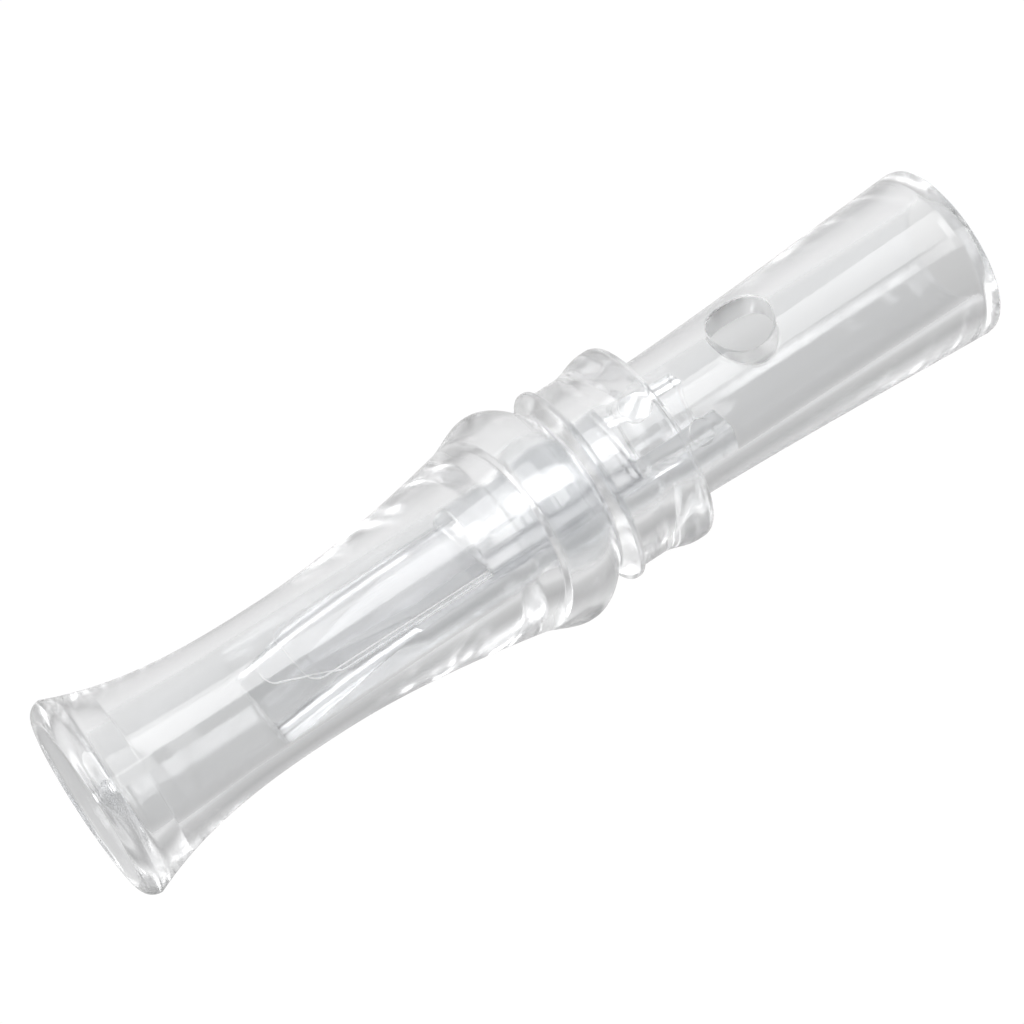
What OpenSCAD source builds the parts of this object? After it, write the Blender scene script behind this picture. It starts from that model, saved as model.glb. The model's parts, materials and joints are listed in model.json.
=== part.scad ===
// Clear duck call: a turned barrel plugged onto a belled insert, with a D-section tone board,
// two flat reeds and a wedge inside. It stands on its bell end with the mouthpiece up.
// Millimetres. The axis of the call is Z, the bell end face is z = 0.

/* [Barrel] */
// Overall length of the call
call_len = 143; // [136:0.5:150]
// Height of the joint between insert collar and barrel
joint_z = 62.6; // [62.5:0.1:62.8]
// Outer radius of the retaining flange beside the cord groove
flange_r = 14.8; // [14.4:0.1:15.2]
// Outer radius of the cord groove floor
groove_r = 12.3; // [11.9:0.1:12.6]
// Outer radius of the bulge
bulge_r = 16.2; // [15.6:0.1:16.8]
// Outer radius of the slim waist
waist_r = 10.4; // [10.2:0.1:11]
// Outer radius of the mouthpiece lip
lip_r = 15.0; // [14.6:0.1:15.6]
// Inner radius of the barrel bore
barrel_bore_r = 8.1; // [8.0:0.05:8.2]
// Radius of the hole in the dished mouthpiece face
mouth_r = 7.9; // [7:0.1:8]

/* [Insert] */
// Outer radius of the bell end
bell_r = 13.15; // [12.6:0.05:13.8]
// Smallest outer radius of the insert tube
tube_r = 10.6; // [10.4:0.1:11]
// Outer radius of the collar
collar_r = 15.05; // [14.8:0.05:15.4]
// Outer radius of the collar's neck beside the barrel
neck_r = 13.9; // [13.6:0.1:14.3]
// Height of the lower face of the collar
collar_z = 50.9; // [50.5:0.1:51.5]
// Bore radius of the insert
insert_bore_r = 7.85; // [7.85:0.01:7.88]
// Outer radius of the tenon that plugs into the barrel
tenon_r = 9.70; // [9.65:0.01:9.72]
// Length of the tenon above the joint
tenon_len = 9.4; // [9:0.1:10]
// Radius of the round hole in the insert wall
side_hole_r = 4.65; // [4:0.05:5]
// Height of the centre of the side hole
side_hole_z = 34; // [32:0.5:36]

/* [Tone board and reeds] */
// Radius of the tone board and wedge
board_r = 7.78; // [7.76:0.01:7.8]
// Height of the tail end of the tone board
board_z0 = 42.7; // [41:0.1:43.5]
// Height of the tip of the tone board
board_z1 = 116.6; // [116:0.1:117.5]
// Height of the flat of the tone board over the axis
flat_h = 2.3; // [2.2:0.05:2.4]
// Radius of the tone channel
channel_r = 4.3; // [4:0.1:4.6]
// Height where the flat of the tone board starts to curve away from the reeds
lay_z = 85; // [84:0.5:86]
// Radius of that curve, the lay
lay_radius = 100; // [95:1:110]
// Thickness of one reed
reed_t = 0.25; // [0.2:0.01:0.28]
// Width of the long reed
long_reed_w = 13.2; // [12.8:0.1:13.6]
// Width of the short reed
short_reed_w = 12.2; // [11.8:0.1:12.6]
// Height of the long reed tip
long_tip_z = 114.7; // [114:0.1:115.2]
// Height of the short reed tip
short_tip_z = 110.1; // [109.5:0.1:110.6]
// Height of the rear end of the wedge
wedge_z0 = 57.6; // [57:0.1:58.5]
// Height of the front end of the wedge
wedge_z1 = 81.8; // [81.4:0.1:82]
// Turn of the tone board about the axis, from the side hole
guts_turn = 3.1; // [0:0.1:20]

/* [Hidden] */
$fn = 96;
eps = 0.02;

seat_gap = 0.06;
socket_r = 9.75;
socket_end_gap = 0.2;
tenon_z1 = joint_z + tenon_len;
socket_z1 = tenon_z1 + socket_end_gap;

flange_round = 0.4;
flange_z1 = joint_z + 1.0;
groove_round = 0.4;
groove_z0 = joint_z + 2.2;
groove_z1 = joint_z + 2.6;
bulge_z = joint_z + 9;
crease_z = joint_z + 15.3;
crease_r = 14.2;
waist_z = joint_z + 47.4;
lip_round = 2.2;
lip_z = call_len - lip_round;
lip_flat_r = 12.4;
lip_drop = 0.2;
mouth_round = 1.7;
dish_r = mouth_r + mouth_round;
dish_z = call_len - 2.0;
mouth_z = dish_z - mouth_round;
mouth_step_z = call_len - 7.3;
relief_r = 8.65;
relief_z = call_len - 21;

bell_round = 1.15;
bell_z = 1.7;
tube_z = 48;
collar_round = 1.4;
collar_fillet = 0.9;
collar_full_z = collar_z + 2.4;
neck_z = joint_z - 4.2;
neck_edge = 0.3;
bell_bore_flare = 1.4;
pin_mark_r = 1.8;
pin_mark_depth = 0.25;

heel_clear = 0.02;
hinge_z = wedge_z1 + 8;
long_h = flat_h + heel_clear;
short_h = flat_h + reed_t + 2 * heel_clear;
long_taper_z = 105.5;
tip_half_w = 2.6;
tip_round = 1.4;
short_corner = 2.1;
ramp_z0 = 92;
ramp_z1 = 107.5;
ramp_r = 1.0;

// cubic curve of radius over height between two points, with the slope at each
function curve(z0, r0, s0, z1, r1, s1, n) = [
    for (i = [0 : n])
        let (
            t = i / n,
            span = z1 - z0,
            a = 2 * t * t * t - 3 * t * t + 1,
            b = t * t * t - 2 * t * t + t,
            c = 3 * t * t - 2 * t * t * t,
            d = t * t * t - t * t
        )
        [a * r0 + b * span * s0 + c * r1 + d * span * s1, z0 + span * t]
];

// arc about (cr, cz) from angle a0 to a1
function arc(cr, cz, radius, a0, a1, n) = [
    for (i = [0 : n])
        let (angle = a0 + (a1 - a0) * i / n)
        [cr + radius * cos(angle), cz + radius * sin(angle)]
];

// height of the lay over the axis at height z
function lay_h(z) = flat_h - pow(max(0, z - lay_z), 2) / (2 * lay_radius);

barrel_outline = concat(
    [[0, joint_z + seat_gap], [flange_r - flange_round, joint_z + seat_gap]],
    arc(flange_r - flange_round, joint_z + seat_gap + flange_round, flange_round, -75, 0, 5),
    arc(flange_r - flange_round, flange_z1 - 0.2, flange_round, 0, 55, 4),
    arc(groove_r + groove_round, groove_z0 + 0.3, groove_round, 235, 180, 4),
    curve(groove_z1, groove_r, 1.2, bulge_z, bulge_r, 0, 12),
    curve(bulge_z + 0.4, bulge_r, 0, crease_z, crease_r, -0.35, 10),
    curve(crease_z + 0.3, crease_r - 0.06, -0.2, waist_z, waist_r, 0, 14),
    curve(waist_z + 1, waist_r, 0, lip_z, lip_r, 0.42, 16),
    arc(lip_r - lip_round, lip_z, lip_round, 0, 90, 8),
    [for (i = [0 : 5]) dish_point(i / 6)],
    arc(dish_r, mouth_z, mouth_round, 90, 180, 8),
    [[0, mouth_z]]
);

// concave face between the lip and the mouth hole
function dish_point(t) = [
    lip_flat_r + (dish_r - lip_flat_r) * t,
    dish_z + (call_len - lip_drop - dish_z) * pow(1 - t, 1.5)
];

insert_outline = concat(
    [[0, 0], [bell_r - 0.1 - bell_round, 0]],
    arc(bell_r - 0.1 - bell_round, bell_round, bell_round, -70, 0, 5),
    curve(bell_z, bell_r, -0.06, tube_z, tube_r, -0.03, 18),
    arc(tube_r + collar_fillet - 0.05, collar_z - collar_fillet, collar_fillet, 180, 90, 5),
    arc(collar_r - collar_round, collar_z + collar_round, collar_round, -90, 0, 6),
    curve(collar_full_z, collar_r, 0, neck_z, neck_r, 0, 8),
    [[neck_r, joint_z - neck_edge], [neck_r - neck_edge, joint_z], [0, joint_z]]
);

module barrel() {
    color([0.86, 0.88, 0.9, 0.5])
    difference() {
        rotate_extrude() polygon(barrel_outline);
        translate([0, 0, joint_z - 1]) cylinder(r = socket_r, h = socket_z1 - joint_z + 1);
        translate([0, 0, joint_z]) cylinder(r = barrel_bore_r, h = mouth_step_z - joint_z);
        translate([0, 0, relief_z])
            cylinder(r1 = barrel_bore_r, r2 = relief_r, h = mouth_step_z - relief_z);
        translate([0, 0, joint_z]) cylinder(r = mouth_r, h = mouth_z - joint_z + eps);
    }
}

module insert() {
    color([0.84, 0.86, 0.88, 0.5])
    difference() {
        union() {
            rotate_extrude() polygon(insert_outline);
            translate([0, 0, joint_z - 1]) cylinder(r = tenon_r, h = tenon_len + 0.6);
            translate([0, 0, tenon_z1 - 0.4])
                cylinder(r1 = tenon_r, r2 = tenon_r - 0.4, h = 0.4);
        }
        translate([0, 0, -1]) cylinder(r = insert_bore_r, h = tenon_z1 + 2);
        translate([0, 0, -eps])
            cylinder(
                r1 = insert_bore_r + bell_bore_flare + eps,
                r2 = insert_bore_r,
                h = bell_bore_flare + eps
            );
        translate([0, 0, side_hole_z])
            rotate([90, 0, 0])
            cylinder(r = side_hole_r, h = bell_r + 4);
        pin_mark(-59.2, 47);
        pin_mark(-9.2, 52.9);
    }
}

// shallow round moulding mark in the wall of the bore
module pin_mark(turn, z) {
    translate([0, 0, z])
        rotate([0, 0, turn])
        rotate([90, 0, 0])
        cylinder(r = pin_mark_r, h = insert_bore_r + pin_mark_depth);
}

// solids drawn with the flat facing -Y, turned about the axis
module turned() {
    rotate([0, 0, guts_turn]) children();
}

// outline in (height, height over the axis), made as wide as the call
module across() {
    rotate([0, 0, 180])
        rotate([0, -90, 0])
        linear_extrude(height = 30, center = true)
        children();
}

module tone_board() {
    color([0.82, 0.85, 0.88, 0.5])
    turned()
    difference() {
        translate([0, 0, board_z0]) cylinder(r = board_r, h = board_z1 - board_z0);
        across() polygon(concat(
            [[board_z0 - 1, 20], [board_z0 - 1, flat_h]],
            [for (i = [0 : 18]) let (z = lay_z + (board_z1 - lay_z) * i / 18) [z, lay_h(z)]],
            [[board_z1 + 1, lay_h(board_z1)], [board_z1 + 1, 20]]
        ));
        translate([0, 0, board_z0 - 1]) cylinder(r = channel_r, h = ramp_z0 - board_z0 + 1);
        translate([0, 0, ramp_z0])
            cylinder(r1 = channel_r, r2 = ramp_r, h = ramp_z1 - ramp_z0);
    }
}

module wedge() {
    color([0.88, 0.9, 0.92, 0.5])
    turned()
    intersection() {
        translate([0, 0, wedge_z0]) cylinder(r = board_r, h = wedge_z1 - wedge_z0);
        translate([-15, -15 - flat_h - 2 * reed_t - 3 * heel_clear, wedge_z0 - 1])
            cube([30, 15, wedge_z1 - wedge_z0 + 2]);
    }
}

// flat strip whose outline is drawn in (across, height), lying h over the axis
module strip(h) {
    turned()
        translate([0, -h, 0])
        rotate([90, 0, 0])
        linear_extrude(height = reed_t)
        children();
}

module heel_outline(width) {
    translate([-width / 2, wedge_z0]) square([width, hinge_z - wedge_z0]);
}

module long_reed_heel() {
    color([0.9, 0.93, 0.95, 0.6]) strip(long_h) heel_outline(long_reed_w);
}

module short_reed_heel() {
    color([0.92, 0.94, 0.95, 0.6]) strip(short_h) heel_outline(short_reed_w);
}

module long_reed_blade() {
    side = [[long_reed_w / 2, hinge_z + eps], [long_reed_w / 2, long_taper_z]];
    tip = [
        for (i = [0 : 6])
            let (angle = i * 15)
            [tip_half_w * cos(angle), long_tip_z - tip_round + tip_round * sin(angle)]
    ];
    right = concat(side, tip);
    color([0.9, 0.93, 0.95, 0.6])
    strip(long_h)
    polygon(concat(right, [for (i = [len(right) - 2 : -1 : 0]) [-right[i][0], right[i][1]]]));
}

module short_reed_blade() {
    corner = arc(
        short_reed_w / 2 - short_corner, short_tip_z - short_corner, short_corner, 0, 90, 6
    );
    right = concat([[short_reed_w / 2, hinge_z + eps]], corner);
    color([0.92, 0.94, 0.95, 0.6])
    strip(short_h)
    polygon(concat(right, [for (i = [len(right) - 1 : -1 : 0]) [-right[i][0], right[i][1]]]));
}

barrel();
insert();
tone_board();
wedge();
long_reed_heel();
long_reed_blade();
short_reed_heel();
short_reed_blade();
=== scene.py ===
"""Looks of the clear duck call: smooth clear shells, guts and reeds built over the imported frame."""

import json
import math
import bmesh
import bpy
from mathutils import Matrix, Vector


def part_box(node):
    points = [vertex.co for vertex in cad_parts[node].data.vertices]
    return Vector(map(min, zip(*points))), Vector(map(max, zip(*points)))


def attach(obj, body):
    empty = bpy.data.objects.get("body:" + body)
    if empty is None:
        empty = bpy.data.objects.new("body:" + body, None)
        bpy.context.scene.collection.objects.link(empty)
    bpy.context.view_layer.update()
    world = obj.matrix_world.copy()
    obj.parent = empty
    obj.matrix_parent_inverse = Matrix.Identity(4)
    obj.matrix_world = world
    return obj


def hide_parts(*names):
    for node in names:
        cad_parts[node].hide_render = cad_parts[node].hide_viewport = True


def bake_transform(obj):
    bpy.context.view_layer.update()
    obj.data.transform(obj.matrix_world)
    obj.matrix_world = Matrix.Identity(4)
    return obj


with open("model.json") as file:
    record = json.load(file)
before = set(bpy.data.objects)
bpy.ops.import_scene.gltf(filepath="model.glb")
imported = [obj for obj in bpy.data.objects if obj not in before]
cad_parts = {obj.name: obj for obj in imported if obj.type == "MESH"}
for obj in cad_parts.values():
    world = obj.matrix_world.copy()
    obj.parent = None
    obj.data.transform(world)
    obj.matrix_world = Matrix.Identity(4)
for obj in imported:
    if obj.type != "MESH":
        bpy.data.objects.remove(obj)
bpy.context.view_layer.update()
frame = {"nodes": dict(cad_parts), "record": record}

MM = 0.001
AROUND = 192  # faces round a turned piece
SMOOTH_ANGLE = math.radians(38)

# ---------------------------------------------------------------- driving dimensions, mm

barrel_low, barrel_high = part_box("barrel")
insert_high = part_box("insert")[1]
board_low, board_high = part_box("tone_board")
wedge_low, wedge_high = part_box("wedge")
long_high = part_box("long_reed_blade")[1]
short_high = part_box("short_reed_blade")[1]

CALL_LEN = barrel_high.z / MM
BULGE_R = -barrel_low.x / MM
BARREL_Z0 = barrel_low.z / MM
JOINT_Z = BARREL_Z0 - 0.06
TENON_Z1 = insert_high.z / MM
COLLAR_R = insert_high.x / MM
BOARD_Z0, BOARD_Z1 = board_low.z / MM, board_high.z / MM
WEDGE_Z0, WEDGE_Z1 = wedge_low.z / MM, wedge_high.z / MM
LONG_TIP, SHORT_TIP = long_high.z / MM, short_high.z / MM

# barrel: radii outside, then of its bores
FLANGE_R, GROOVE_R, CREASE_R, WAIST_R, LIP_R = 14.8, 12.3, 14.2, 10.4, 15.0
SOCKET_R, BARREL_BORE, RELIEF_R, MOUTH_R = 9.75, 8.1, 8.65, 7.9

# insert: radii, heights, side hole, and moulding marks as (turn in degrees, height)
BELL_R, TUBE_R, NECK_R, TENON_R, INSERT_BORE, BORE_FLARE = 13.15, 10.6, 13.9, 9.7, 7.85, 1.4
BELL_Z, TUBE_Z, COLLAR_Z = 1.7, 48.0, 50.9
SIDE_HOLE_R, SIDE_HOLE_Z = 4.65, 34.0
PIN_MARKS = ((-9.2, 52.9), (-59.2, 47.0))

# tone board: rod, flat, curved lay, and the channel with its ramp
BOARD_R, FLAT_H, LAY_RADIUS, LAY_Z = 7.78, 2.3, 100.0, 85.0
CHANNEL_R, RAMP_Z0, RAMP_Z1, RAMP_R = 4.3, 92.0, 107.5, 1.0

# reeds: film, half widths and tips
REED_T, REED_GAP, LONG_HALF, SHORT_HALF = 0.25, 0.02, 6.6, 6.1
LONG_TAPER_Z, TIP_HALF, TIP_ROUND, SHORT_CORNER = 105.5, 2.6, 1.4, 2.1

GUTS_TURN = math.radians(3.1)  # of the board, wedge and reeds about the axis


# ---------------------------------------------------------------- outlines

def curve(z0, r0, s0, z1, r1, s1, steps):
    """Cubic of radius over height between two points, with the slope at each."""
    shares = [i / steps for i in range(steps + 1)]
    return [(curve_r(z0, r0, s0, z1, r1, s1, t), z0 + (z1 - z0) * t) for t in shares]


def curve_r(z0, r0, s0, z1, r1, s1, t):
    """Radius of that cubic at share t of the way."""
    span = z1 - z0
    a = 2 * t**3 - 3 * t**2 + 1
    b = t**3 - 2 * t**2 + t
    return a * r0 + b * span * s0 + (1 - a) * r1 + (t**3 - t**2) * span * s1


def arc(cr, cz, radius, a0, a1, steps):
    """Round stretch about a centre, between two angles in degrees."""
    angles = [math.radians(a0 + (a1 - a0) * i / steps) for i in range(steps + 1)]
    return [(cr + radius * math.cos(a), cz + radius * math.sin(a)) for a in angles]


def line(p, q, steps):
    """Points from p up to, but not at, q."""
    return [(p[0] + (q[0] - p[0]) * i / steps, p[1] + (q[1] - p[1]) * i / steps) for i in range(steps)]


def corner(before, at, after, radius, steps=4):
    """Small round edge at a corner between two straight stretches."""
    p, a, b = Vector(at), Vector(before), Vector(after)
    u, v = (a - p).normalized(), (b - p).normalized()
    start, end = p + u * radius, p + v * radius
    out = []
    for i in range(steps + 1):
        t = i / steps
        out.append(tuple(start * (1 - t) ** 2 + p * 2 * t * (1 - t) + end * t**2))
    return out


def barrel_outline():
    flange_z1, groove_z0, groove_z1 = JOINT_Z + 1.0, JOINT_Z + 2.2, JOINT_Z + 2.6
    bulge_z, crease_z, waist_z = JOINT_Z + 9.0, JOINT_Z + 15.3, JOINT_Z + 47.4
    lip_round, lip_flat, mouth_round = 2.2, 12.4, 1.7
    lip_z = CALL_LEN - lip_round
    dish_z, mouth_z = CALL_LEN - 2.0, CALL_LEN - 3.7
    step_z, relief_z = CALL_LEN - 7.3, CALL_LEN - 21
    socket_z1 = TENON_Z1 + 0.2
    dish_r = MOUTH_R + mouth_round
    dish, dish_rise = [], CALL_LEN - 0.2 - dish_z
    for i in range(8):
        t = i / 8
        dish.append((lip_flat + (dish_r - lip_flat) * t, dish_z + dish_rise * (1 - t) ** 1.5))
    mouth, step, relief = (MOUTH_R, mouth_z), (MOUTH_R, step_z), (RELIEF_R, step_z)
    bore_top, bore_end = (BARREL_BORE, relief_z), (BARREL_BORE, socket_z1)
    socket_top, socket_end = (SOCKET_R, socket_z1), (SOCKET_R, BARREL_Z0)
    return (
        corner(socket_top, socket_end, (FLANGE_R, BARREL_Z0), 0.25)
        + arc(FLANGE_R - 0.4, BARREL_Z0 + 0.4, 0.4, -88, 0, 6)
        + arc(FLANGE_R - 0.4, flange_z1 - 0.2, 0.4, 0, 55, 5)
        + arc(GROOVE_R + 0.4, groove_z0 + 0.3, 0.4, 235, 180, 5)
        + curve(groove_z1, GROOVE_R, 1.2, bulge_z, BULGE_R, 0, 16)
        + curve(bulge_z + 0.4, BULGE_R, 0, crease_z, CREASE_R, -0.35, 14)
        + curve(crease_z + 0.3, CREASE_R - 0.06, -0.2, waist_z, WAIST_R, 0, 32)
        + curve(waist_z + 1, WAIST_R, 0, lip_z, LIP_R, 0.42, 32)
        + arc(LIP_R - lip_round, lip_z, lip_round, 5, 90, 10)
        + dish
        + arc(dish_r, mouth_z, mouth_round, 90, 180, 10)
        + corner(mouth, step, relief, 0.1, 3)
        + [relief]
        + line(relief, bore_top, 8)[1:]
        + line(bore_top, bore_end, 24)
        + corner((BARREL_BORE, 90), bore_end, socket_top, 0.15, 3)
        + corner(bore_end, socket_top, socket_end, 0.12, 3)
    )


HOLE_ROWS = [24.0 + 0.8 * i for i in range(26)]  # heights of the rows of faces beside the side hole


def insert_radius(z):
    """Outer radius of the insert tube between bell and collar."""
    return curve_r(BELL_Z, BELL_R, -0.06, TUBE_Z, TUBE_R, -0.03, (z - BELL_Z) / (TUBE_Z - BELL_Z))


def insert_outline():
    """Closed outline, with rows beside the side hole outside and inside, and the number of its outside
    rows, where the inside rows begin.
    """
    bell_round, fillet, collar_round = 1.15, 0.9, 1.4
    rows = [BELL_Z + 1.0 * i for i in range(22)] + HOLE_ROWS + [45.5, 46.8, TUBE_Z]
    flare = (INSERT_BORE + BORE_FLARE, 0.0)
    bore_low, bore_high = (INSERT_BORE, BORE_FLARE), (INSERT_BORE, TENON_Z1)
    tenon_top, tenon_root = (TENON_R, TENON_Z1), (TENON_R, JOINT_Z)
    joint = (NECK_R - 0.3, JOINT_Z)
    outside = (
        corner(bore_low, flare, (BELL_R, 0), 0.35)
        + arc(BELL_R - 0.1 - bell_round, bell_round, bell_round, -88, 0, 8)
        + [(insert_radius(z), z) for z in rows]
        + arc(TUBE_R + fillet - 0.05, COLLAR_Z - fillet, fillet, 180, 92, 6)
        + arc(COLLAR_R - collar_round, COLLAR_Z + collar_round, collar_round, -88, 0, 8)
        + curve(COLLAR_Z + 2.4, COLLAR_R, 0, JOINT_Z - 4.2, NECK_R, 0, 12)
        + line((NECK_R, JOINT_Z - 4.0), (NECK_R, JOINT_Z - 0.3), 4)
        + corner((NECK_R, JOINT_Z - 0.3), joint, tenon_root, 0.15, 3)
        + corner(joint, tenon_root, tenon_top, 0.1, 3)
        + corner(tenon_root, tenon_top, bore_high, 0.4)
        + corner(tenon_top, bore_high, bore_low, 0.2)
    )
    above_marks = [71.0 - 1.0 * i for i in range(16)]
    beside_marks = [55.5 - 0.5 * i for i in range(22)]
    inside_rows = above_marks + beside_marks + HOLE_ROWS[::-1]
    inside = (
        [(INSERT_BORE, z) for z in inside_rows]
        + line((INSERT_BORE, 22.5), bore_low, 14)
        + corner((INSERT_BORE, 9), bore_low, flare, 0.5)
    )
    return outside + inside, len(outside)


# ---------------------------------------------------------------- meshes

def finish_piece(name, bm, material):
    """Turns a bmesh in millimetres into a smooth piece in metres."""
    bmesh.ops.recalc_face_normals(bm, faces=bm.faces)
    if bm.calc_volume(signed=True) < 0:
        bmesh.ops.reverse_faces(bm, faces=bm.faces)
    bmesh.ops.scale(bm, vec=(MM, MM, MM), verts=bm.verts)
    mesh = bpy.data.meshes.new(name)
    bm.to_mesh(mesh)
    bm.free()
    mesh.shade_smooth()
    mesh.set_sharp_from_angle(angle=SMOOTH_ANGLE)
    piece = bpy.data.objects.new(name, mesh)
    bpy.context.scene.collection.objects.link(piece)
    mesh.materials.append(material)
    return piece


def on_axis(r, angle, z):
    return (r * math.cos(angle), r * math.sin(angle), z)


def turned_grid(bm, outline):
    """Rows of vertices of a closed outline turned about the axis. Column 0 faces -Y."""
    start = -math.pi / 2
    step = 2 * math.pi / AROUND
    return [[bm.verts.new(on_axis(r, start + step * i, z)) for i in range(AROUND)] for r, z in outline]


def grid_faces(bm, grid, skipped=()):
    """Faces between the rows, last row to first too, but for the skipped cells."""
    for j, row in enumerate(grid):
        above = grid[(j + 1) % len(grid)]
        for i in range(AROUND):
            if (j, i) not in skipped:
                k = (i + 1) % AROUND
                bm.faces.new((row[i], row[k], above[k], above[i]))


def bridge(bm, ring, other):
    """Faces between two rings of as many vertices."""
    for k in range(len(ring)):
        m = (k + 1) % len(ring)
        bm.faces.new((ring[k], ring[m], other[m], other[k]))


def patch_border(grid, rows, columns):
    """Vertices round a block of the grid, in order, and the faces that the block takes out."""
    j0, j1 = rows
    i0, i1 = columns
    around = [(j0, i) for i in range(i0, i1)]
    around += [(j, i1) for j in range(j0, j1)]
    around += [(j1, i) for i in range(i1, i0, -1)]
    around += [(j, i0) for j in range(j1, j0, -1)]
    cells = {(j, i % AROUND) for j in range(j0, j1) for i in range(i0, i1)}
    return [grid[j][i % AROUND] for j, i in around], cells


def wall_point(radius_at, turn, x, z):
    """Point of a turned wall x to the side of a radial line at that turn."""
    r = radius_at(z)
    angle = turn - math.pi / 2 + math.asin(max(-1.0, min(1.0, x / r)))
    return Vector(on_axis(r, angle, z))


def hole_rings(bm, border, radius_at, turn, centre_z, radius, rings):
    """Rings of vertices from a patch's border to a round hole in the wall. Returns the ring at the hole."""
    along = Vector((math.cos(turn), math.sin(turn), 0))
    flat = [(v.co.dot(along), v.co.z - centre_z) for v in border]
    last = border
    for n in range(1, rings + 1):
        t = (1 - n / rings) ** 1.5
        ring = []
        for x, z in flat:
            size = math.hypot(x, z)
            k = t + (1 - t) * radius / size
            ring.append(bm.verts.new(wall_point(radius_at, turn, x * k, centre_z + z * k)))
        bridge(bm, last, ring)
        last = ring
    return last


def sunk_ring(bm, ring, turn, centre_z, radius, depth):
    """Copy of a ring at another radius about a radial line, moved depth towards the axis."""
    out = Vector((math.sin(turn), -math.cos(turn), 0))
    along = Vector((math.cos(turn), math.sin(turn), 0))
    made = []
    for v in ring:
        x, z = v.co.dot(along), v.co.z - centre_z
        k = radius / math.hypot(x, z)
        y = v.co.dot(out) - depth
        made.append(bm.verts.new(along * x * k + out * y + Vector((0, 0, centre_z + z * k))))
    return made


def build_barrel(material):
    bm = bmesh.new()
    grid_faces(bm, turned_grid(bm, barrel_outline()))
    return finish_piece("barrel_shell", bm, material)


def build_insert(material, cut_material):
    """Insert with its side hole, whose wall takes the cut material, and two moulding marks."""
    bm = bmesh.new()
    outline, inside_from = insert_outline()
    grid = turned_grid(bm, outline)
    edge, half_columns, half_height, cut_slack = 0.3, 24, 6.4, 0.06
    heights = [z for r, z in outline]

    def rows_between(first, last, low, high):
        found = [j for j in range(first, last) if low <= heights[j] <= high]
        return found[0], found[-1]

    low, high = SIDE_HOLE_Z - half_height, SIDE_HOLE_Z + half_height
    columns = (-half_columns, half_columns)
    outer_border, outer_cells = patch_border(grid, rows_between(0, inside_from, low, high), columns)
    inner_border, inner_cells = patch_border(grid, rows_between(inside_from, len(grid), low, high), columns)
    skipped = outer_cells | inner_cells
    outer = hole_rings(bm, outer_border, insert_radius, 0, SIDE_HOLE_Z, SIDE_HOLE_R + edge, 8)
    inner = hole_rings(bm, inner_border, lambda z: INSERT_BORE, 0, SIDE_HOLE_Z, SIDE_HOLE_R + edge, 8)
    inner = match_ring(outer, inner)
    wall = outer
    quarter = [math.radians(a) for a in (30, 60, 90)]
    for lip, inwards, angles in ((outer, edge, quarter), (inner, -edge, quarter[::-1])):
        for a in angles:
            radius = SIDE_HOLE_R + edge * (1 - math.sin(a))
            ring = sunk_ring(bm, lip, 0, SIDE_HOLE_Z, radius, inwards * (1 - math.cos(a)))
            bridge(bm, wall, ring)
            wall = ring
    bridge(bm, wall, inner)

    mark_r, mark_depth, mark_half, mark_columns = 1.8, 0.25, 2.6, 11
    for turn_deg, z in PIN_MARKS:
        turn = math.radians(turn_deg)
        middle = round(turn / (2 * math.pi / AROUND))
        rows = rows_between(inside_from, len(grid), z - mark_half, z + mark_half)
        border, cells = patch_border(grid, rows, (middle - mark_columns, middle + mark_columns))
        skipped |= cells
        lip = hole_rings(bm, border, lambda z: INSERT_BORE, turn, z, mark_r + 0.08, 4)
        floor = sunk_ring(bm, lip, turn, z, mark_r, -mark_depth)
        bridge(bm, lip, floor)
        inside = sunk_ring(bm, floor, turn, z, mark_r * 0.9, 0)
        bridge(bm, floor, inside)
        bm.faces.new(inside)
    grid_faces(bm, grid, skipped)
    shell = finish_piece("insert_shell", bm, material)
    shell.data.materials.append(cut_material)
    for face in shell.data.polygons:
        x, y, z = face.center / MM
        off_wall = abs(math.hypot(x, z - SIDE_HOLE_Z) - SIDE_HOLE_R)
        if y < 0 and off_wall < cut_slack:
            face.material_index = 1
    return shell


def match_ring(ring, other):
    """The other ring, turned or reversed so that its vertices face those of the first."""
    best = None
    for step in (1, -1):
        for shift in range(len(other)):
            order = [other[(shift + step * k) % len(other)] for k in range(0, len(other), len(other) // 4)]
            probe = [ring[k] for k in range(0, len(ring), len(ring) // 4)]
            miss = sum((a.co - b.co).length for a, b in zip(probe, order))
            if best is None or miss < best[0]:
                best = (miss, step, shift)
    return [other[(best[2] + best[1] * k) % len(other)] for k in range(len(other))]


ACROSS = Vector((math.cos(GUTS_TURN), math.sin(GUTS_TURN), 0))
UPWARD = Vector((math.sin(GUTS_TURN), -math.cos(GUTS_TURN), 0))


def guts_point(across, height, z):
    return ACROSS * across + UPWARD * height + Vector((0, 0, z))


def sweep(name, sections, material):
    """Closed solid through sections, each a height z and a loop of (across, height over the axis)."""
    bm = bmesh.new()
    rings = [[bm.verts.new(guts_point(a, h, z)) for a, h in loop] for z, loop in sections]
    for ring, other in zip(rings, rings[1:]):
        bridge(bm, ring, other)
    bm.faces.new(rings[0])
    bm.faces.new(rings[-1])
    return finish_piece(name, bm, material)


def lay_h(z):
    """Height of the lay over the axis: flat, then curving away from the reeds."""
    return FLAT_H - max(0.0, z - LAY_Z) ** 2 / (2 * LAY_RADIUS)


def channel_r(z):
    """Radius of the tone channel, which narrows along its ramp."""
    return CHANNEL_R + (RAMP_R - CHANNEL_R) * max(0.0, min(1.0, (z - RAMP_Z0) / (RAMP_Z1 - RAMP_Z0)))


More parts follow.
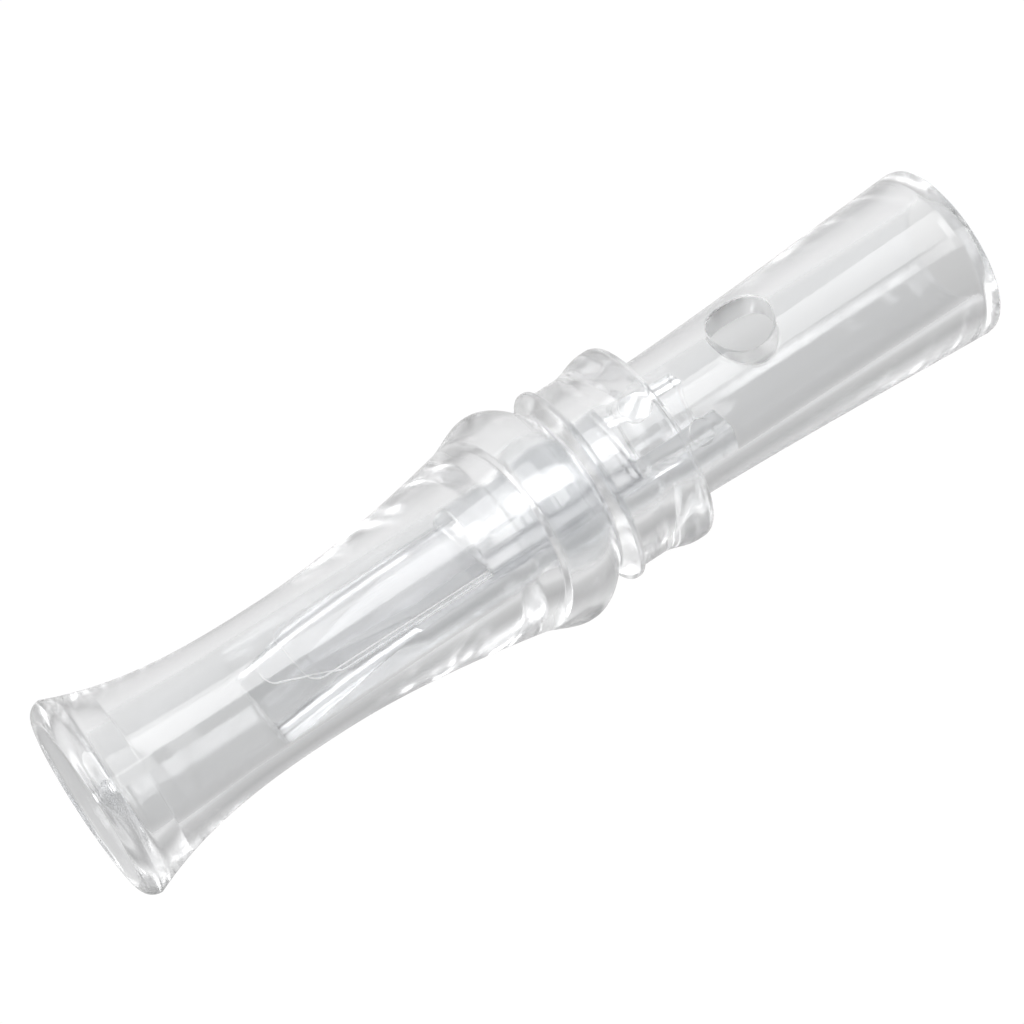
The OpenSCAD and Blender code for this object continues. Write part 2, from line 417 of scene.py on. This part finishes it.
def board_loop(z, open_channel, shrink=0.0):
    """Section of the tone board: round back, two rails and the channel between them."""
    h, edge, steps = lay_h(z) - shrink, 0.05, 28
    outer = BOARD_R - shrink
    rail = math.sqrt(outer**2 - h**2)
    half = math.acos(h / outer)
    lead = edge / outer
    back = [half + lead + (2 * math.pi - 2 * half - 2 * lead) * i / 72 for i in range(73)]
    loop = [(-outer * math.sin(a), outer * math.cos(a)) for a in back]
    loop.append((rail - edge, h))
    if open_channel:
        c = channel_r(z) + shrink
        mouth = math.sqrt(c**2 - h**2)
        side = math.acos(h / c)
        loop.append((mouth + edge, h))
        for i in range(steps + 1):
            a = side + 0.02 + (2 * math.pi - 2 * side - 0.04) * i / steps
            loop.append((c * math.sin(a), c * math.cos(a)))
        loop.append((-mouth - edge, h))
    else:
        loop += [((rail - edge) * (1 - 2 * i / (steps + 4)), h) for i in range(1, steps + 4)]
    loop.append((-rail + edge, h))
    return loop


def build_board(material):
    bevel, step_len = 0.15, 0.03
    start, end = BOARD_Z0 + bevel, BOARD_Z1 - bevel
    open_heights = [start + (LAY_Z - start) * i / 12 for i in range(12)]
    open_heights += [LAY_Z + (RAMP_Z1 - LAY_Z) * i / 36 for i in range(37)]
    closed_heights = [RAMP_Z1 + step_len + (end - RAMP_Z1 - step_len) * i / 12 for i in range(13)]
    sections = [(BOARD_Z0, board_loop(start, True, bevel))]
    sections += [(z, board_loop(z, True)) for z in open_heights]
    sections += [(z, board_loop(z, False)) for z in closed_heights]
    sections.append((BOARD_Z1, board_loop(end, False, bevel)))
    return sweep("tone_board_rod", sections, material)


def wedge_loop(shrink=0.0):
    """Section of the wedge: a half round over the two reeds."""
    bottom = FLAT_H + 2 * REED_T + 3 * REED_GAP + shrink
    outer = BOARD_R - shrink
    half = math.acos(bottom / outer)
    edge = outer * math.sin(half)
    angles = [half - 0.02 - (2 * half - 0.04) * i / 48 for i in range(49)]
    loop = [(outer * math.sin(a), outer * math.cos(a)) for a in angles]
    return loop + [(-edge + 0.15, bottom), (edge - 0.15, bottom)]


def build_wedge(material):
    bevel = 0.2
    middle = [WEDGE_Z0 + bevel + (WEDGE_Z1 - WEDGE_Z0 - 2 * bevel) * i / 10 for i in range(11)]
    sections = [(WEDGE_Z0, wedge_loop(bevel))]
    sections += [(z, wedge_loop()) for z in middle]
    sections.append((WEDGE_Z1, wedge_loop(bevel)))
    return sweep("wedge_block", sections, material)


def long_half(z):
    """Half the width of the long reed at height z."""
    if z <= LONG_TAPER_Z:
        return LONG_HALF
    shoulder = LONG_TIP - TIP_ROUND
    if z <= shoulder:
        return LONG_HALF + (TIP_HALF - LONG_HALF) * (z - LONG_TAPER_Z) / (shoulder - LONG_TAPER_Z)
    return max(0.15, TIP_HALF * math.sqrt(max(0.0, 1 - ((z - shoulder) / TIP_ROUND) ** 2)))


def short_half(z):
    """Half the width of the short reed at height z: square, with round corners."""
    shoulder = SHORT_TIP - SHORT_CORNER
    if z <= shoulder:
        return SHORT_HALF
    return SHORT_HALF - SHORT_CORNER + math.sqrt(max(0.0, SHORT_CORNER**2 - (z - shoulder) ** 2))


def build_reed(name, bottom, tip, half, material, painted_glow_edge_material):
    """Strip of film from the wedge to its tip, with its cut edges in their own material, which carries a
    painted glow.
    """
    steps, columns, edge, tip_len, tip_steps = 90, 12, 0.05, 3, 24
    tip_from = tip - tip_len
    heights = [WEDGE_Z0 + (tip_from - WEDGE_Z0) * i / steps for i in range(steps)]
    heights += [tip_from + tip_len * math.sin(math.pi / 2 * i / tip_steps) for i in range(tip_steps + 1)]
    sections = []
    for z in heights:
        w = half(z)
        low = [((-1 + 2 * i / columns) * (w - edge), bottom) for i in range(columns + 1)]
        high = [((1 - 2 * i / columns) * (w - edge), bottom + REED_T) for i in range(columns + 1)]
        right = [(w, bottom + edge), (w, bottom + REED_T - edge)]
        left = [(-w, bottom + REED_T - edge), (-w, bottom + edge)]
        sections.append((z, low + right + high + left))
    reed = sweep(name, sections, material)
    reed.data.materials.append(painted_glow_edge_material)
    # The side faces, which are the reeds' cut edges, take the material with the painted glow.
    flat = 0.9
    for face in reed.data.polygons:
        if abs(face.normal.dot(UPWARD)) < flat:
            face.material_index = 1
    return reed


# ---------------------------------------------------------------- materials

def node(tree, kind, **values):
    """New node of that kind, with its own settings."""
    made = tree.nodes.new(kind)
    for key, value in values.items():
        setattr(made, key, value)
    return made


def clear_material(name, tint, second_tint, roughness, ior, bump, grain, clearness=1.0):
    """Clear plastic: faint tint changes, patches of haze and a fine surface grain."""
    material = bpy.data.materials.new(name)
    material.use_nodes = True
    tree = material.node_tree
    shader = tree.nodes["Principled BSDF"]
    shader.inputs["Transmission Weight"].default_value = clearness
    shader.inputs["IOR"].default_value = ior
    coords = node(tree, "ShaderNodeTexCoord")

    haze = node(tree, "ShaderNodeTexNoise")
    haze.inputs["Scale"].default_value = 90
    haze.inputs["Detail"].default_value = 4
    tree.links.new(coords.outputs["Object"], haze.inputs["Vector"])
    rough = node(tree, "ShaderNodeMapRange")
    rough.inputs["From Min"].default_value = 0.35
    rough.inputs["From Max"].default_value = 0.75
    rough.inputs["To Min"].default_value = roughness[0]
    rough.inputs["To Max"].default_value = roughness[1]
    tree.links.new(haze.outputs["Fac"], rough.inputs["Value"])
    tree.links.new(rough.outputs["Result"], shader.inputs["Roughness"])

    ramp = node(tree, "ShaderNodeValToRGB")
    ramp.color_ramp.elements[0].color = (*tint, 1)
    ramp.color_ramp.elements[0].position = 0.35
    ramp.color_ramp.elements[1].color = (*second_tint, 1)
    ramp.color_ramp.elements[1].position = 0.7
    tree.links.new(haze.outputs["Fac"], ramp.inputs["Fac"])
    tree.links.new(ramp.outputs["Color"], shader.inputs["Base Color"])

    fine = node(tree, "ShaderNodeTexNoise")
    fine.inputs["Scale"].default_value = grain
    fine.inputs["Detail"].default_value = 2
    tree.links.new(coords.outputs["Object"], fine.inputs["Vector"])
    bumps = node(tree, "ShaderNodeBump")
    bumps.inputs["Strength"].default_value = 1.0
    bumps.inputs["Distance"].default_value = bump
    tree.links.new(fine.outputs["Fac"], bumps.inputs["Height"])
    tree.links.new(bumps.outputs["Normal"], shader.inputs["Normal"])
    return material


def add_painted_glow(material, strength):
    """Faint white emission painted on as a glow, standing in for the light that film carries to its cut
    edges.
    """
    shader = material.node_tree.nodes["Principled BSDF"]
    shader.inputs["Emission Color"].default_value = (1, 1, 1, 1)
    shader.inputs["Emission Strength"].default_value = strength


PLASTIC_IOR, FILM_IOR = 1.585, 1.6
SMOOTH_BUMP, CUT_BUMP = 5e-7, 2e-6  # depth of the grain, metres

body_clear = clear_material(
    "body_clear", (0.97, 0.975, 0.98), (0.95, 0.955, 0.96), (0.07, 0.11), PLASTIC_IOR, SMOOTH_BUMP, 260)
guts_clear = clear_material(
    "guts_clear", (0.95, 0.955, 0.96), (0.92, 0.925, 0.93), (0.08, 0.13), PLASTIC_IOR, SMOOTH_BUMP, 340)
reed_clear = clear_material(
    "reed_clear", (0.98, 0.98, 0.985), (0.96, 0.96, 0.965), (0.08, 0.14), FILM_IOR, SMOOTH_BUMP, 420)
# Cut edges of the reeds: frosted film that also carries a painted glow, a faint white emission of its own.
reed_cut_painted_glow = clear_material(
    "reed_cut_painted_glow", (0.98, 0.98, 0.98), (0.96, 0.96, 0.96), (0.4, 0.6), FILM_IOR, CUT_BUMP, 900, 0.0)
add_painted_glow(reed_cut_painted_glow, 0.35)
hole_cut = clear_material(
    "hole_cut", (0.93, 0.935, 0.94), (0.9, 0.905, 0.91), (0.3, 0.4), PLASTIC_IOR, CUT_BUMP, 500, 0.75)

# ---------------------------------------------------------------- pieces

barrel_shell = build_barrel(body_clear)
insert_shell = build_insert(body_clear, hole_cut)
board_rod = build_board(guts_clear)
wedge_block = build_wedge(guts_clear)
long_bottom = FLAT_H + REED_GAP
short_bottom = FLAT_H + REED_T + 2 * REED_GAP
long_strip = build_reed("long_reed_strip", long_bottom, LONG_TIP, long_half, reed_clear, reed_cut_painted_glow)
short_strip = build_reed("short_reed_strip", short_bottom, SHORT_TIP, short_half, reed_clear, reed_cut_painted_glow)

for piece, body, cad_node in (
    (barrel_shell, "barrel_body", "barrel"),
    (insert_shell, "insert_body", "insert"),
    (board_rod, "guts_body", "tone_board"),
    (wedge_block, "wedge_body", "wedge"),
):
    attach(piece, body)
    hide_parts(cad_node)

for piece, which in ((long_strip, "long"), (short_strip, "short")):
    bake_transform(piece)
    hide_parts(which + "_reed_heel", which + "_reed_blade")

looks = {"clear_body": body_clear, "clear_guts": guts_clear, "reed_film": reed_clear}
for entry in frame["record"]["subparts"]:
    cad = frame["nodes"][entry["node"]]
    cad.data.materials.clear()
    cad.data.materials.append(looks[entry["material_slot"]])

# ---------------------------------------------------------------- camera

VIEW_TURN = math.radians(39.2)
VIEW_TILT = math.radians(14)
VIEW_ROLL = math.radians(32.94)
VIEW_DISTANCE = 0.52
AIM_Z = 0.5 * CALL_LEN * MM
AIM_LEFT, AIM_UP = 0.0024, 0.0008
LENS, SENSOR = 134.7, 36  # mm

side = Vector((math.cos(VIEW_TURN), -math.sin(VIEW_TURN), 0))
towards = Vector((-math.sin(VIEW_TURN), -math.cos(VIEW_TURN), 0))
back = towards * math.cos(VIEW_TILT) + Vector((0, 0, math.sin(VIEW_TILT)))
upright = back.cross(side)
right = -upright * math.cos(VIEW_ROLL) - side * math.sin(VIEW_ROLL)
up = -upright * math.sin(VIEW_ROLL) + side * math.cos(VIEW_ROLL)
centre = Vector((0, 0, AIM_Z))
aim = centre - right * AIM_LEFT + up * AIM_UP
place = centre + back * VIEW_DISTANCE
gaze = (place - aim).normalized()
right = up.cross(gaze).normalized()
up = gaze.cross(right)
camera_data = bpy.data.cameras.new("camera")
camera_data.lens = LENS
camera_data.sensor_width = SENSOR
camera = bpy.data.objects.new("camera", camera_data)
camera.matrix_world = Matrix((
    (right.x, up.x, gaze.x, place.x),
    (right.y, up.y, gaze.y, place.y),
    (right.z, up.z, gaze.z, place.z),
    (0, 0, 0, 1),
))
bpy.context.scene.collection.objects.link(camera)
bpy.context.scene.camera = camera

# ---------------------------------------------------------------- floor and light

FLOOR_HALF, FLOOR_DROP, FLOOR_GLOW = 8.0, 0.0002, 1.02

floor_mesh = bpy.data.meshes.new("floor")
floor_corners = [(x * FLOOR_HALF, y * FLOOR_HALF, 0) for x, y in ((-1, -1), (1, -1), (1, 1), (-1, 1))]
floor_mesh.from_pydata(floor_corners, [], [(0, 1, 2, 3)])
floor = bpy.data.objects.new("floor", floor_mesh)
floor.location.z = -FLOOR_DROP
bpy.context.scene.collection.objects.link(floor)
floor_look = bpy.data.materials.new("floor_white")
floor_look.use_nodes = True
floor_tree = floor_look.node_tree
glow = node(floor_tree, "ShaderNodeEmission")
glow.inputs["Color"].default_value = (1, 1, 1, 1)
glow.inputs["Strength"].default_value = FLOOR_GLOW
floor_tree.links.new(glow.outputs["Emission"], floor_tree.nodes["Material Output"].inputs["Surface"])
floor_mesh.materials.append(floor_look)
floor.visible_glossy = False
floor.visible_transmission = False
floor.visible_shadow = False

STUDIO = (
    # degrees round the call from the camera, brightness
    (-180, 0.63), (-168, 0.55), (-150, 0.45), (-125, 0.60), (-115, 0.80), (-90, 0.68), (-75, 0.75),
    (-60, 0.55), (10, 0.57), (17, 0.62), (48, 0.95), (65, 0.92), (80, 1.15), (95, 1.15), (110, 0.86),
    (130, 0.85), (150, 0.80), (168, 0.76), (180, 0.63),
)
BRIGHTEST = 1.2

world = bpy.data.worlds.new("studio")
world.use_nodes = True
bpy.context.scene.world = world
tree = world.node_tree
background = tree.nodes["Background"]
coords = node(tree, "ShaderNodeTexCoord")
to_side = node(tree, "ShaderNodeVectorMath", operation="DOT_PRODUCT")
to_side.inputs[1].default_value = side
to_front = node(tree, "ShaderNodeVectorMath", operation="DOT_PRODUCT")
to_front.inputs[1].default_value = towards
tree.links.new(coords.outputs["Generated"], to_side.inputs[0])
tree.links.new(coords.outputs["Generated"], to_front.inputs[0])
turn = node(tree, "ShaderNodeMath", operation="ARCTAN2")
tree.links.new(to_side.outputs["Value"], turn.inputs[0])
tree.links.new(to_front.outputs["Value"], turn.inputs[1])
share = node(tree, "ShaderNodeMapRange")
share.inputs["From Min"].default_value = -math.pi
share.inputs["From Max"].default_value = math.pi
tree.links.new(turn.outputs["Value"], share.inputs["Value"])
ramp = node(tree, "ShaderNodeValToRGB")
stops = ramp.color_ramp.elements
for degrees, _ in STUDIO[1:-1]:
    stops.new((degrees + 180) / 360)
for stop, (degrees, level) in zip(sorted(stops, key=lambda s: s.position), STUDIO):
    stop.position = (degrees + 180) / 360
    stop.color = (level / BRIGHTEST, level / BRIGHTEST, level / BRIGHTEST, 1)
tree.links.new(share.outputs["Result"], ramp.inputs["Fac"])

# The camera sees plain white behind the call; reflections and refractions see the studio.
rays = node(tree, "ShaderNodeLightPath")
seen = node(tree, "ShaderNodeMix", data_type="RGBA")
scaled = node(tree, "ShaderNodeVectorMath", operation="SCALE")
scaled.inputs["Scale"].default_value = BRIGHTEST
tree.links.new(ramp.outputs["Color"], scaled.inputs[0])
tree.links.new(rays.outputs["Is Camera Ray"], seen.inputs["Factor"])
seen_inputs = [s for s in seen.inputs if s.type == "RGBA"]
seen_inputs[1].default_value = (1, 1, 1, 1)
tree.links.new(scaled.outputs["Vector"], seen_inputs[0])
seen_output = [s for s in seen.outputs if s.type == "RGBA"][0]
tree.links.new(seen_output, background.inputs["Color"])

PANEL_AWAY = 0.27  # from the axis of the call, metres


def softbox(name, turn_deg, low, high, half_deg, level):
    """Upright panel of light beside the call, between two heights. The camera doesn't see it directly."""
    turn = math.radians(turn_deg)
    way = towards * math.cos(turn) + side * math.sin(turn)
    width, height = 2 * PANEL_AWAY * math.tan(math.radians(half_deg)), high - low
    data = bpy.data.lights.new(name, "AREA")
    data.shape = "RECTANGLE"
    data.size = width
    data.size_y = height
    data.energy = level * math.pi * width * height
    panel = bpy.data.objects.new(name, data)
    across, upwards = Vector((0, 0, 1)).cross(way), Vector((0, 0, 1))
    at = way * PANEL_AWAY + upwards * (low + high) / 2
    panel.matrix_world = Matrix((
        (across.x, upwards.x, way.x, at.x),
        (across.y, upwards.y, way.y, at.y),
        (across.z, upwards.z, way.z, at.z),
        (0, 0, 0, 1),
    ))
    panel.visible_camera = False
    bpy.context.scene.collection.objects.link(panel)


softbox("softbox", turn_deg=28.5, low=-0.07, high=0.5, half_deg=17.5, level=3.1)
softbox("softbox_low", turn_deg=2.0, low=-0.03, high=0.01, half_deg=9.5, level=1.6)
softbox("softbox_mouth", turn_deg=2.0, low=-0.42, high=-0.06, half_deg=9.5, level=2.6)

CLEAR_BOUNCES, GLOSS_BOUNCES = 64, 32  # light passes many walls on its way through the call

scene = bpy.context.scene
scene.view_settings.view_transform = "Standard"
scene.cycles.max_bounces = CLEAR_BOUNCES
scene.cycles.transmission_bounces = CLEAR_BOUNCES
scene.cycles.glossy_bounces = GLOSS_BOUNCES
